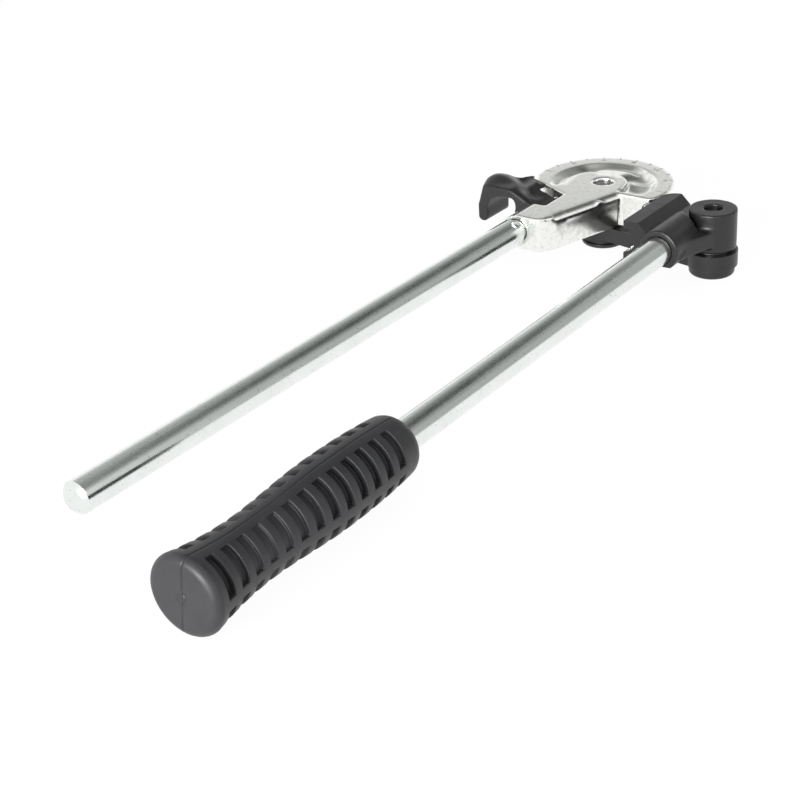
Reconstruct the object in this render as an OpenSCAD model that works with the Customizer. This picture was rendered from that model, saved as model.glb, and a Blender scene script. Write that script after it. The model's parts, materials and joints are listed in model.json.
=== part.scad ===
// Hand lever tube bender: a grooved former on a fixed rod, a hook that holds the tube,
// and a lever with a forming shoe that a link carries round the bending axis.
// Frame: origin on the bending axis, at the underside of its cap, where the tool rests.
// +Z is up along the bending axis, and the fixed rod runs from the former towards -Y.

/* [Tube and bend] */
// Outside diameter of the tube that is bent
tube_d = 15; // [12:0.5:16]
// Bend radius at the tube's centre line
bend_r = 41.6; // [40:0.2:46]
// Room between the tube and the grooves, all round
groove_gap = 0.1; // [0.05:0.05:0.3]

/* [Former] */
// Thickness of the lip above and below the groove
lip_t = 2.5; // [2:0.1:4]
// How far the rim stops short of the tube's centre line
rim_inset = 0.55; // [0.3:0.05:1]
// Thickness of the upper and lower flanges
flange_t = 4.6; // [3.5:0.1:6]
// How far the web along the neck is set back under the flanges
web_inset = 2.2; // [1:0.1:4]
// How far the web at the straight near edge is set back under the flanges
chord_inset = 4.5; // [2:0.5:6]
// Distance from the bending axis to the straight near edge
chord_setback = 12.8; // [11:0.2:15]
// Distance from the bending axis to the corner between near edge and neck
neck_root = 18.5; // [16:0.5:22]
// Radius of the hub round the bending axis
hub_r = 14; // [12:0.5:16]
// How far the hub stands out below the former
hub_drop = 0.7; // [0.5:0.1:4]
// Width of the scale band between the pocket and the rim
scale_band = 9.8; // [9:0.1:13]
// Depth of the pocket in each face
pocket_depth = 3.2; // [2:0.1:4.2]
// Radius of the raised face that joins hub and neck
plateau_r = 19.6; // [18:0.2:21]
// Distance from the bending axis to the neck's end face
neck_reach = 69.8; // [66:0.2:90]
// Width of the neck's end face, to the right of the fixed rod's axis
neck_end_w = 18.5; // [16:0.5:22]
// Radius of the rolled edge along the neck
rolled_r = 4.2; // [1:0.2:4.4]
// Radius of the socket's wall outside
socket_r = 8.9; // [8.6:0.1:10]

/* [Fixed rod] */
// Diameter of both handle rods
rod_d = 16; // [15:0.5:18]
// Distance from the bending axis to the fixed rod's axis
rod_offset = 17; // [16:0.5:20]
// Distance from the bending axis to the fixed rod's free end
rod_reach = 415; // [250:5:600]
// Diameter of the turned end inside the socket
spigot_d = 13; // [11:0.5:13.5]
// Bevel at the rods' ends
rod_bevel = 2; // [0.5:0.25:3]
// Thickness of the socket's end wall beside the hook
socket_wall = 4; // [3:0.5:6]
// Diameter of the cross pins that keep the rods in place
lock_pin_d = 4; // [3:0.5:5]

/* [Hook] */
// Diameter of the pin that the hook turns on
hook_pin_d = 8; // [6:0.5:9]
// Wall of the hook's eye round its pin
hook_eye_wall = 2.8; // [2:0.1:3.5]
// Distance from the bending axis to the near wall of the hook's notch
notch_near = 49; // [46:0.5:52]
// Distance from the bending axis to the far corner of the hook's notch
notch_far = 28.2; // [26:0.2:31]
// Gap between the hook and the walls of its notch
hook_play = 0.4; // [0.3:0.1:1]
// Thickness of the hook's finger
finger_t = 5.9; // [4:0.1:8]
// Thickness of the hook above the tube
arch_t = 7.5; // [5:0.1:9]
// Reach of the hook's finger below the tube's centre line
finger_drop = 8; // [5:0.5:9]
// Room between the tube and the hook's finger
finger_slack = 0.9; // [0.5:0.1:2]
// Room between the tube and the hook's inner leg
leg_slack = 3.1; // [1:0.1:5]
// Thickness of the hook's inner leg
leg_t = 5; // [4:0.5:7]
// How far the finger flares out towards the former, as a thumb tab
thumb_tab = 9; // [4:0.5:12]

/* [Link and pivots] */
// Thickness of the link
link_t = 8.9; // [5:0.1:10]
// Width of the link's bar
link_w = 24.4; // [16:0.2:26]
// Radius of the link's two eyes
eye_r = 14.4; // [13:0.1:16]
// Diameter of the pin on the bending axis
pivot_pin_d = 12; // [10:0.5:13]
// Diameter of the pin on the lever axis
lever_pin_d = 10.4; // [8:0.2:12]
// How far the pins' upper ends lie below the faces round them
pin_recess = 2.2; // [1:0.1:4]
// Wall of the bushes in the link
bush_t = 2; // [1:0.1:3]
// Thickness of the thrust washers on the link
washer_t = 1; // [0.6:0.1:2]
// Outside radius of the thrust washers
washer_r = 11; // [9:0.5:12]
// Radius of the caps under the pivots
cap_r = 12.9; // [11:0.1:14]
// Height of the caps under the pivots
cap_h = 5.4; // [4.5:0.1:7]
// How much lower the bending axis ends than the lever axis
foot_h = 1.3; // [0.5:0.1:6]
// Thickness of the retaining rings
ring_t = 1; // [0.8:0.1:1.2]
// Play of the link between its neighbours
link_play = 0.2; // [0.1:0.05:0.5]
// Running clearance of the pins in their moving eyes, all round
run_gap = 0.05; // [0.02:0.01:0.1]
// Clearance of pieces that are pressed together, all round
press_gap = 0.02; // [0.01:0.01:0.05]

/* [Lever and shoe] */
// Gap between the tube's centre line and the shoe's lips
shoe_gap = 0.7; // [0.4:0.1:2]
// Depth of the shoe from its lips to its back
shoe_depth = 14.4; // [12.4:0.1:18]
// Thickness of the shoe's cheek above and below the groove
shoe_cheek = 3.65; // [2.5:0.05:5]
// Width of the shoe's flat upper face
shoe_flat = 8.8; // [5:0.1:10]
// Height of the shoe's back
shoe_back_h = 11.8; // [6:0.1:14]
// Reach of the shoe from the bending axis towards the grip
shoe_near = 50.7; // [40:0.1:60]
// Reach of the shoe past the bending axis
shoe_far = 0.5; // [-4:0.5:4]
// Radius of the shoe's far corner
shoe_corner_r = 9.5; // [4:0.5:12]
// Diameter of the shoe's dowels
dowel_d = 2.4; // [2:0.1:3]
// Thickness of the tongue that the shoe sits on
tongue_t = 5; // [3:0.5:6]
// Distance of the lever axis from the bending axis, towards the grip
boss_setback = 12.5; // [5:0.5:20]
// Radius of the lever head's boss
boss_r = 13.4; // [12:0.1:16]
// How far the boss stands above the former's face
boss_rise = 2.1; // [0:0.1:4]
// Width of the recess between the boss and the sleeve's upper end
boss_recess = 3.3; // [1.5:0.1:5]
// Wall of the sleeve round the lever rod
sleeve_wall = 3.6; // [3:0.1:5]
// How far the shoe's back reaches into the sleeve's outline
sleeve_bite = 2.1; // [0.4:0.1:2.6]
// Distance between the lever axis and the lever rod's axis
lever_rod_offset = 11.4; // [10:0.2:16]
// Distance from the lever axis to the sleeve's mouth
sleeve_reach = 43.5; // [36:0.5:60]
// Distance from the lever axis to the sleeve's far end
sleeve_back = 10; // [8:0.5:14]
// Distance from the lever axis to the lever rod's inner end
lever_rod_back = 17.5; // [17:0.5:22]
// Angle by which the lever rod leans away from the fixed rod
handle_splay = 1.12; // [0:0.01:5]

/* [Grip] */
// Distance from the lever axis to the grip's end
lever_reach = 433.5; // [250:0.5:600]
// Length of the grip
grip_len = 143.5; // [120:0.5:180]
// Radius of the grip at its flared end
grip_end_r = 18.5; // [16:0.5:22]
// Radius of the grip at its waist
grip_waist_r = 15; // [14:0.25:17]
// Radius of the grip at its swell
grip_swell_r = 17.25; // [15:0.25:20]
// Radius of the grip where the rod comes out
grip_mouth_r = 15.4; // [15.2:0.1:16]
// Thickness of the grip's closed end
grip_end_t = 5; // [3:0.5:10]
// Number of rows of slots round the grip
slot_row_count = 4; // [2:1:4]
// Number of slots in each row
slot_count = 13; // [5:1:13]
// Width of a slot
slot_w = 5; // [2:0.25:6]
// Depth of the slots at the grip's waist
slot_depth = 1.6; // [1:0.1:3.5]
// Angle that a slot spans
slot_span = 66; // [40:1:80]

/* [Hidden] */
$fn = 96;
eps = 0.01;
through = 1;

aluminium = "#D9DBDC";
plated_steel = "#C2C6C4";
plain_steel = "#8E9092";
black_enamel = "#2B2B2C";
bush_bronze = "#A98B4F";
black_rubber = "#2F2F31";

tube_r = tube_d / 2;
groove_r = tube_r + groove_gap;
rim_r = bend_r - rim_inset;
former_half = groove_r + lip_t;
hub_half = former_half + hub_drop;
pocket_r = rim_r - scale_band;
plateau = [-0.23, -0.29] * plateau_r;
pocket_draft = 1.2;
pocket_near = 9.4;

// Heights of the pivots, from the caps up to the rods' plane
cap_top = foot_h + cap_h;
link_bottom = cap_top + link_play;
link_top = link_bottom + link_t;
washer_bottom = link_top + link_play;
hub_bottom = washer_bottom + washer_t;
mid_z = hub_bottom + hub_half;
former_top = mid_z + former_half;
boss_top = former_top + boss_rise;

// Inside of the caps
cap_floor = 1;
cap_edge_r = 2.2;
cap_rim_h = cap_edge_r + 0.6;
cap_wall = 1.8;
cap_clear = 0.2;
cap_inside = foot_h + cap_floor;
cap_neck_r = cap_r - 1.7;
ring_top = cap_top - cap_clear;
ring_bottom = ring_top - ring_t;
ring_bite = 1;
ring_out = 2.4;
ring_opening = 40;
pin_bottom = cap_inside + 2 * press_gap;
pin_bevel = 0.6;

// Fixed rod, hook and neck
rod_r = rod_d / 2;
spigot_r = spigot_d / 2;
hook_pin_r = hook_pin_d / 2;
hook_eye_r = hook_pin_r + hook_eye_wall;
finger_out = -bend_r - tube_r - finger_slack - finger_t;
slope_from = -notch_near + 13;
slope_angle = 8.8;
lean_from = 2;
lean_angle = 14.6;
notch_x = -rod_offset + hook_eye_r + hook_play;
flange_left = -rod_offset + 2.5;
neck_end_x = -rod_offset + neck_end_w;
neck_corner_r = 5;
socket_bottom = notch_near + socket_wall;
block_len = 10.4;
neck_flare = 0.33;
neck_waist = [neck_end_x + neck_flare * block_len, block_len - neck_reach];
hook_pin_end = 14;
rod_shoulder = neck_reach + 0.6;
mouth_r = socket_r - 0.3;
dimple_r = 5;
dimple_depth = 1.1;
dimple_angle = 35;
dimple_reach = neck_reach + 5;
lock_pin_up = 0.55 * spigot_r;

// Outline of the former's left side, from the rim's end to the notch
rim_end_angle = 191;
shoulder_angle = 205.3;
shoulder_r = rim_r - 2;
rim_end = rim_r * around(rim_end_angle);
shoulder = shoulder_r * around(shoulder_angle);
rim_corner_drop = 4;

// Lever axis and rods
shoe_lip = bend_r + shoe_gap;
shoe_back = shoe_lip + shoe_depth;
sleeve_r = rod_r + sleeve_wall;
boss_x = shoe_back - sleeve_bite + sleeve_r + lever_rod_offset;
boss_y = -boss_setback;
link_len = norm([boss_x, boss_y]);
link_angle = atan2(boss_y, boss_x);
shoe_half = groove_r + shoe_cheek;
shoe_wall = 1.6;
tongue_front = bend_r + groove_r + shoe_wall;
tongue_margin = 6;
tongue_far = shoe_far - shoe_corner_r - 1;
dowel_x = (tongue_front + shoe_back) / 2;
dowel_reach = tongue_t / 2 + 1.8;
recess_floor = 3.6;
web_top = recess_floor - 0.3;
web_drop = 7;
web_reach = 33;
sleeve_flat = rod_r + 1.2;
web_near_angle = 302;
lever_rod_near = lever_reach - grip_end_t;
lock_pin_place = (sleeve_reach + lever_rod_back) / 2;

// Grip: places along its length, from the closed end
grip_flare = 4;
grip_waist = 0.29 * grip_len;
grip_swell = 0.64 * grip_len;
grip_round = 7;
grip_body = grip_len - grip_round;
grip_flare_rise = grip_end_r - grip_waist_r;
grip_swell_rise = grip_swell_r - grip_waist_r;
grip_mouth_fall = grip_swell_r - grip_mouth_r;
grip_steps = 16;
first_slot = 10.3;
last_slot = grip_len - 18;
slot_pitch = (last_slot - first_slot) / (slot_count - 1);
slot_floor_r = grip_waist_r - slot_depth;
first_row = 35;
slot_rows = [for (i = [0:slot_row_count - 1]) first_row + i * 360 / slot_row_count];

// Points on an arc, from one angle to another
function around(a) = [cos(a), sin(a)];
function arc(c, r, a0, a1, n) = [for (i = [0:n]) c + r * around(a0 + (a1 - a0) * i / n)];

// The grip's radius at a distance from its closed end: flare, waist, swell and mouth
function smooth(s) = s * s * (3 - 2 * s);
function grip_r(t) =
    t < grip_waist ? grip_waist_r + grip_flare_rise * pow((grip_waist - t) / (grip_waist - grip_flare), 2)
    : t < grip_swell ? grip_waist_r + grip_swell_rise * smooth((t - grip_waist) / (grip_swell - grip_waist))
    : grip_swell_r - grip_mouth_fall * pow((t - grip_swell) / (grip_body - grip_swell), 2.5);

// Placing: along -Y from the rods' plane, and in the lever's own frame
module along_y(x, from, to) {
    translate([x, -from, mid_z])
        rotate([90, 0, 0])
            linear_extrude(to - from)
                children();
}
module at_lever_axis() {
    translate([boss_x, boss_y, 0])
        children();
}
module along_lever(from, to) {
    at_lever_axis()
        rotate([0, 0, handle_splay])
            along_y(-lever_rod_offset, from, to)
                children();
}
module on_lever_rod(from) {
    at_lever_axis()
        rotate([0, 0, handle_splay])
            translate([-lever_rod_offset, -from, mid_z])
                rotate([-90, 0, 0])
                    children();
}

// Pieces that both pivots share
module pin_body(r, top) {
    groove = r - ring_bite;
    rotate_extrude()
        polygon([
            [0, pin_bottom],
            [r - pin_bevel, pin_bottom],
            [r, pin_bottom + pin_bevel],
            [r, ring_bottom - press_gap],
            [groove, ring_bottom - press_gap],
            [groove, ring_top + press_gap],
            [r, ring_top + press_gap],
            [r, top - pin_bevel],
            [r - pin_bevel, top],
            [0, top]
        ]);
}
module ring_body(r) {
    translate([0, 0, ring_bottom])
        rotate([0, 0, ring_opening / 2])
            rotate_extrude(angle = 360 - ring_opening)
                translate([r - ring_bite + press_gap, 0])
                    square([ring_bite + ring_out, ring_t]);
}
module cap_body(r, bottom, wall_r) {
    collar = r + press_gap;
    collar_top = ring_bottom - cap_clear;
    edge = [cap_r - cap_edge_r, bottom + cap_edge_r];
    rotate_extrude()
        polygon(concat(
            [[0, bottom]],
            arc(edge, cap_edge_r, -90, 0, 8),
            [
                [cap_r, bottom + cap_rim_h],
                [wall_r, bottom + cap_rim_h],
                [wall_r, cap_top],
                [wall_r - cap_wall, cap_top],
                [wall_r - cap_wall, cap_inside],
                [collar + cap_wall, cap_inside],
                [collar + cap_wall, collar_top],
                [collar, collar_top],
                [collar, cap_inside],
                [0, cap_inside]
            ]
        ));
}
module bush_body(r) {
    translate([0, 0, link_bottom])
        rotate_extrude()
            translate([r + run_gap, 0])
                square([bush_t, link_t]);
}
module washer_body(r) {
    translate([0, 0, washer_bottom])
        rotate_extrude()
            translate([r + run_gap, 0])
                square([washer_r - r - run_gap, washer_t - press_gap]);
}
module bore(r, from, to) {
    translate([0, 0, from])
        cylinder(r = r, h = to - from);
}

// Former
module disc_outline(near) {
    far = 2 * rim_r;
    intersection() {
        circle(rim_r);
        polygon([
            [-far, far],
            [-far, rim_end.y],
            rim_end,
            shoulder,
            [notch_x, -notch_far],
            [neck_root, -near],
            [rim_r - rim_corner_drop, -near],
            [rim_r, rim_corner_drop - near],
            [far, rim_corner_drop - near],
            [far, far]
        ]);
    }
}
module neck_outline(left, inset) {
    corner = [neck_end_x - neck_corner_r, neck_corner_r - neck_reach];
    polygon(concat(
        [
            [notch_x, 0],
            [notch_x, -notch_near],
            [left, -notch_near],
            [left, -neck_reach]
        ],
        arc(corner, neck_corner_r, -90, -18, 6),
        [
            neck_waist,
            neck_waist - [inset, 0],
            [neck_root - inset, -chord_setback],
            [neck_root - inset, 0]
        ]
    ));
}
module slab(z, t) {
    translate([0, 0, z])
        linear_extrude(t)
            children();
}
module disc() {
    difference() {
        union() {
            slab(former_top - flange_t, flange_t)
                disc_outline(chord_setback);
            slab(mid_z - former_half, flange_t)
                disc_outline(chord_setback);
            slab(mid_z - former_half, 2 * former_half)
                disc_outline(chord_setback - chord_inset);
        }
        translate([0, 0, mid_z])
            rotate_extrude()
                translate([bend_r, 0])
                    circle(groove_r);
    }
}
module neck() {
    slab(former_top - flange_t, flange_t)
        neck_outline(flange_left, 0);
    slab(mid_z - former_half, flange_t)
        neck_outline(flange_left, 0);
    slab(mid_z - former_half, 2 * former_half)
        neck_outline(-rod_offset, web_inset);
    along_y(-rod_offset, notch_near, neck_reach)
        circle(socket_r);
}
module pocket() {
    out = 2 * rim_r;
    high = pocket_depth + through;
    slant = pocket_draft / pocket_depth;
    translate([0, 0, former_half - pocket_depth])
        difference() {
            cylinder(r1 = pocket_r - pocket_draft, r2 = pocket_r + slant * through, h = high);
            cylinder(r = hub_r, h = high);
            translate([plateau.x, plateau.y, 0])
                cylinder(r = plateau_r, h = high);
            translate([-out, shoulder.y - out, 0])
                cube([out, out, high]);
            translate([0, -out - pocket_near, 0])
                cube([out, out, high]);
        }
}
module rolled_edge() {
    run = [neck_root, -chord_setback] - neck_waist;
    over = block_len + neck_corner_r;
    translate([neck_waist.x, neck_waist.y, mid_z])
        rotate([0, 0, atan2(run.y, run.x)])
            translate([-over, -rolled_r, former_half - rolled_r])
                rotate([90, 0, 90])
                    linear_extrude(norm(run) + over)
                        difference() {
                            square(2 * rolled_r);
                            circle(rolled_r);
                        }
}
module former() {
    color(aluminium)
        difference() {
            union() {
                disc();
                neck();
                bore(hub_r, hub_bottom, mid_z);
            }
            for (lower = [0, 1])
                translate([0, 0, mid_z])
                    mirror([0, 0, lower])
                        pocket();
            rolled_edge();
            bore(pivot_pin_d / 2 + press_gap, hub_bottom - through, former_top + through);
            along_y(-rod_offset, socket_bottom, neck_reach + through)
                circle(spigot_r + press_gap);
            translate([-rod_offset, -neck_reach - eps, mid_z])
                rotate([-90, 0, 0])
                    cylinder(r1 = mouth_r, r2 = spigot_r, h = mouth_r - spigot_r);
            along_y(-rod_offset, hook_pin_end, socket_bottom + through)
                circle(hook_pin_r + press_gap);
            fixed_rod_lock(press_gap, former_half + through);
        }
}

// Fixed rod and its pins
module fixed_rod_lock(gap, drop) {
    translate([-rod_offset, -(socket_bottom + neck_reach) / 2, mid_z - drop])
        cylinder(d = lock_pin_d + 2 * gap, h = drop + lock_pin_up);
}
module fixed_rod_outline() {
    near = rod_reach - rod_shoulder - rod_bevel;
    far = rod_reach - socket_bottom - press_gap;
    polygon([
        [0, far],
        [spigot_r - pin_bevel, far],
        [spigot_r, far - pin_bevel],
        [spigot_r, near + rod_bevel],
        [rod_r, near],
        [rod_r, rod_bevel],
        [rod_r - rod_bevel, 0],
        [0, 0]
    ]);
}
module fixed_rod() {
    color(plated_steel)
        difference() {
            translate([-rod_offset, -rod_reach, mid_z])
                rotate([-90, 0, 0])
                    rotate_extrude()
                        fixed_rod_outline();
            fixed_rod_lock(press_gap, former_half);
            translate([-rod_offset, -dimple_reach, mid_z])
                rotate([0, dimple_angle, 0])
                    translate([0, 0, rod_r + dimple_r - dimple_depth])
                        sphere(dimple_r);
        }
}
module fixed_rod_lock_pin() {
    color(plain_steel)
        fixed_rod_lock(0, spigot_r);
}
module hook_pin() {
    color(plain_steel)
        along_y(-rod_offset, hook_pin_end + press_gap, socket_bottom - press_gap)
            circle(hook_pin_r);
}

// Bending axis
module pivot_pin() {
    color(plain_steel)
        pin_body(pivot_pin_d / 2, former_top - pin_recess);
}
module pivot_retaining_ring() {
    color(plain_steel)
        ring_body(pivot_pin_d / 2);
}
module pivot_cap() {
    color(black_enamel)
        cap_body(pivot_pin_d / 2, 0, cap_neck_r);
}
module pivot_thrust_washer() {
    color(plain_steel)
        washer_body(pivot_pin_d / 2);
}

// Link
module link() {
    color(black_enamel)
        difference() {
            translate([0, 0, link_bottom])
                linear_extrude(link_t)
                    union() {
                        circle(eye_r);
                        translate([boss_x, boss_y])
                            circle(eye_r);
                        rotate(link_angle)
                            translate([0, -link_w / 2])
                                square([link_len, link_w]);
                    }
            bore(pivot_pin_d / 2 + run_gap + bush_t + press_gap, 0, hub_bottom);
            at_lever_axis()
                bore(lever_pin_d / 2 + run_gap + bush_t + press_gap, 0, hub_bottom);
        }
}
module link_pivot_bush() {
    color(bush_bronze)
        bush_body(pivot_pin_d / 2);
}
module link_lever_bush() {
    color(bush_bronze)
        at_lever_axis()
            bush_body(lever_pin_d / 2);
}

// Lever
module tongue(gap) {
    half = tongue_t / 2 + gap;
    near = -shoe_near + tongue_margin - gap;
    translate([tongue_front - gap, near, mid_z - half])
        cube([boss_x - lever_rod_offset - tongue_front, tongue_far + gap - near, 2 * half]);
}
module dowels(gap, drop) {
    for (y = [-shoe_near + 2 * tongue_margin, tongue_far - tongue_margin])
        translate([dowel_x, y, mid_z - drop])
            cylinder(d = dowel_d + 2 * gap, h = drop + dowel_reach);
}
module sleeve_outline() {
    intersection() {
        circle(sleeve_r);
        translate([-2 * sleeve_r, -sleeve_flat])
            square(4 * sleeve_r);
    }
}
module head_web() {
    sleeve_side = sleeve_r - lever_rod_offset - sleeve_wall / 4;
    polygon([
        [0, 0],
        [-lever_rod_offset, -sleeve_back],
        [-lever_rod_offset, -web_reach],
        [sleeve_side, -web_reach],
        boss_r * around(web_near_angle)
    ]);
}
module lever_sleeve() {
    difference() {
        along_lever(sleeve_back, sleeve_reach)
            sleeve_outline();
        at_lever_axis()
            bore(boss_r + boss_recess, mid_z + recess_floor, boss_top);
    }
}
module lever_head() {
    color(black_enamel)
        difference() {
            union() {
                at_lever_axis()
                    bore(boss_r, hub_bottom, boss_top);
                lever_sleeve();
                at_lever_axis()
                    rotate(handle_splay)
                        slab(mid_z - web_drop, web_drop + web_top)
                            head_web();
                tongue(0);
            }
            at_lever_axis()
                bore(lever_pin_d / 2 + press_gap, 0, boss_top + through);
            along_lever(lever_rod_back, sleeve_reach + through)
                circle(rod_r + press_gap);
            along_lever_lock(press_gap, sleeve_r + through);
            shoe_seat();
            dowels(press_gap, shoe_half);
        }
}
module along_lever_lock(gap, drop) {
    at_lever_axis()
        rotate([0, 0, handle_splay])
            translate([-lever_rod_offset, -lock_pin_place, mid_z - drop])
                cylinder(d = lock_pin_d + 2 * gap, h = drop + lock_pin_up);
}
module shoe_seat() {
    clear = press_gap;
    difference() {
        translate([shoe_lip, -shoe_near - clear, mid_z - 2 * shoe_half])
            cube([shoe_back - shoe_lip + clear, shoe_near + shoe_far + 2 * clear, 4 * shoe_half]);
        tongue(0);
    }
}
module shoe_profile() {
    difference() {
        polygon([
            [shoe_lip, -shoe_half],
            [shoe_lip + shoe_flat, -shoe_half],
            [shoe_back, -shoe_back_h / 2],
            [shoe_back, shoe_back_h / 2],
            [shoe_lip + shoe_flat, shoe_half],
            [shoe_lip, shoe_half]
        ]);
        translate([bend_r, 0])
            circle(groove_r);
    }
}
module forming_shoe() {
    color(black_enamel)
        difference() {
            along_y(0, -shoe_far, shoe_near)
                shoe_profile();
            translate([shoe_lip, shoe_far, mid_z - 2 * shoe_half])
                linear_extrude(4 * shoe_half)
                    difference() {
                        square(2 * shoe_corner_r, center = true);
                        translate([shoe_corner_r, -shoe_corner_r])
                            circle(shoe_corner_r);
                    }
            tongue(press_gap);
            dowels(press_gap, shoe_half);
        }
}
module shoe_dowels() {
    color(plain_steel)
        dowels(0, dowel_reach);
}
module lever_pin() {
    color(plain_steel)
        at_lever_axis()
            pin_body(lever_pin_d / 2, boss_top - pin_recess);
}
module lever_retaining_ring() {
    color(plain_steel)
        at_lever_axis()
            ring_body(lever_pin_d / 2);
}
module lever_cap() {
    color(black_enamel)
        at_lever_axis()
            cap_body(lever_pin_d / 2, foot_h, cap_r);
}
module lever_thrust_washer() {
    color(plain_steel)
        at_lever_axis()
            washer_body(lever_pin_d / 2);
}
module lever_rod() {
    len = lever_rod_near - lever_rod_back - press_gap;
    color(plated_steel)
        difference() {
            on_lever_rod(lever_rod_near)
                rotate_extrude()
                    polygon([
                        [0, 0],
                        [rod_r - rod_bevel, 0],
                        [rod_r, rod_bevel],
                        [rod_r, len - rod_bevel],
                        [rod_r - rod_bevel, len],
                        [0, len]
                    ]);
            along_lever_lock(press_gap, sleeve_r);
        }
}
module lever_rod_lock_pin() {
    color(plain_steel)
        along_lever_lock(0, rod_r + sleeve_wall / 2);
}
module grip_outline() {
    rod_hole = rod_r + press_gap;
    side = [
        for (i = [1:grip_steps - 1])
            let (t = grip_flare + (grip_body - grip_flare) * i / grip_steps)
                [grip_r(t), t]
    ];
    polygon(concat(
        [[0, 0]],
        arc([grip_end_r - grip_flare, grip_flare], grip_flare, -90, 0, 4),
        side,
        arc([grip_mouth_r - grip_round, grip_body], grip_round, 0, 90, 4),
        [
            [rod_hole, grip_len],
            [rod_hole, grip_end_t],
            [0, grip_end_t]
        ]
    ));
}
module grip_slot(t, row) {
    translate([0, 0, t - slot_w / 2])
        rotate([0, 0, -row - slot_span / 2])
            rotate_extrude(angle = slot_span)
                translate([slot_floor_r, 0])
                    square([2 * (grip_r(t) - slot_floor_r), slot_w]);
}
module lever_grip() {
    color(black_rubber)
        on_lever_rod(lever_reach)
            difference() {
                rotate_extrude()
                    grip_outline();
                for (i = [0:slot_count - 1], row = slot_rows)
                    grip_slot(first_slot + i * slot_pitch, row);
            }
}

// Hook, drawn as an outline across the tube and cut to its plan
module hook_profile() {
    finger_in = finger_out + finger_t;
    leg = -bend_r + tube_r + leg_slack;
    top = tube_r + arch_t;
    seat_r = tube_r + finger_slack;
    crown_r = finger_t + thumb_tab;
    tip_r = finger_t / 2;
    leg_corner_r = 3;
    seat_rise = 0.8;
    root_in = 1;
    polygon(concat(
        arc([finger_in - tip_r, tip_r - finger_drop], tip_r, 0, -110, 8),
        arc([finger_in, top - crown_r], crown_r, 180, 90, 12),
        [
            [leg - leg_t / 2, top],
            [-rod_offset - hook_pin_r, hook_eye_r + 2],
            [-rod_offset + root_in, hook_eye_r - root_in / 3],
            [-rod_offset + root_in, -hook_eye_r + root_in / 3],
            [leg + leg_t, -hook_eye_r],
            [leg, -hook_eye_r / 2]
        ],
        arc([leg - leg_corner_r, seat_r + seat_rise - leg_corner_r], leg_corner_r, 0, 90, 6),
        arc([-bend_r, 0], seat_r, 90, 180, 10)
    ));
}
module hook_plan() {
    near = -notch_near + hook_play;
    far = -notch_far - hook_play / 2;
    leg = -bend_r + tube_r + leg_slack;
    gap = 3.2;
    polygon([
        [finger_out, near],
        [notch_x, near],
        [notch_x, far],
        [leg + leg_t, far],
        [leg + leg_t / 2, far + gap],
        [leg - leg_t / 2, far + 2 * gap],
        [shoulder.x - gap, shoulder.y - 1],
        [shoulder.x - gap, shoulder.y + gap],
        [finger_out + finger_t, far + 4],
        [finger_out - thumb_tab, far + 2]
    ]);
}
module hook_slope() {
    top = tube_r + arch_t;
    translate([0, slope_from, mid_z + top])
        rotate([-slope_angle, 0, 0])
            translate([-2 * bend_r, 0, 0])
                cube(2 * bend_r);
}
module finger_lean() {
    translate([finger_out, -notch_near + hook_play, mid_z + lean_from])
        rotate([0, 0, atan2(thumb_tab, notch_near - notch_far)])
            rotate([0, lean_angle, 0])
                translate([-2 * bend_r, -bend_r, 0])
                    cube(2 * bend_r);
}
module tube_hook() {
    color(black_enamel)
        difference() {
            union() {
                intersection() {
                    along_y(0, 0, 2 * notch_near)
                        hook_profile();
                    translate([0, 0, mid_z - 2 * bend_r])
                        linear_extrude(4 * bend_r)
                            hook_plan();
                }
                along_y(-rod_offset, notch_far + hook_play / 2, notch_near - hook_play)
                    circle(hook_eye_r);
            }
            hook_slope();
            finger_lean();
            along_y(-rod_offset, 0, 2 * notch_near)
                circle(hook_pin_r + run_gap);
        }
}

former();
fixed_rod();
fixed_rod_lock_pin();
hook_pin();
pivot_pin();
pivot_retaining_ring();
pivot_cap();
pivot_thrust_washer();
link();
link_pivot_bush();
link_lever_bush();
lever_head();
forming_shoe();
shoe_dowels();
lever_pin();
lever_retaining_ring();
lever_cap();
lever_thrust_washer();
lever_rod();
lever_rod_lock_pin();
lever_grip();
tube_hook();
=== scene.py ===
# %% [markdown]
# # A hand lever tube bender
# The CAD model gives every piece its size and its joint. This notebook dresses it: edges that catch the light,
# a moulded grip, a degree scale, and finishes for cast aluminium, plated steel, paint and rubber. We load the
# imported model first, because every piece here is made from it or sits on it.

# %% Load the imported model
import json
import math

import bmesh
import bpy
from mathutils import Matrix, Vector

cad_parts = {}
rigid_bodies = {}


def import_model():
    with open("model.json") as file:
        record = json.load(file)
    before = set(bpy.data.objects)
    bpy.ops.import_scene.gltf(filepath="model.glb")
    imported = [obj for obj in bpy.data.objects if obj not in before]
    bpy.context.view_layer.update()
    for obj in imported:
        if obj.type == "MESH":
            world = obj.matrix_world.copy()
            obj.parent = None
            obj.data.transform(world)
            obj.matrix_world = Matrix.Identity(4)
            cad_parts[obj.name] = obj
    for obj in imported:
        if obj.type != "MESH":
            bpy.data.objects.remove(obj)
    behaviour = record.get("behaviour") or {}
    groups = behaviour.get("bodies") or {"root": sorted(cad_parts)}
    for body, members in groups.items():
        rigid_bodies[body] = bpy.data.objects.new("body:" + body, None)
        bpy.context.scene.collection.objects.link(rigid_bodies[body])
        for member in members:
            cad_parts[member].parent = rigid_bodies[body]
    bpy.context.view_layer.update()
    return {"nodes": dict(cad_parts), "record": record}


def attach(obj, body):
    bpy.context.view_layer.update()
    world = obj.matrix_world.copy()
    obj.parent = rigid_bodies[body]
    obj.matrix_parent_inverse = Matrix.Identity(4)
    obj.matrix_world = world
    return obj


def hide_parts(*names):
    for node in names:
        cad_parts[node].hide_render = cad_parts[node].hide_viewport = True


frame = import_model()
MM = 0.001

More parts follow.
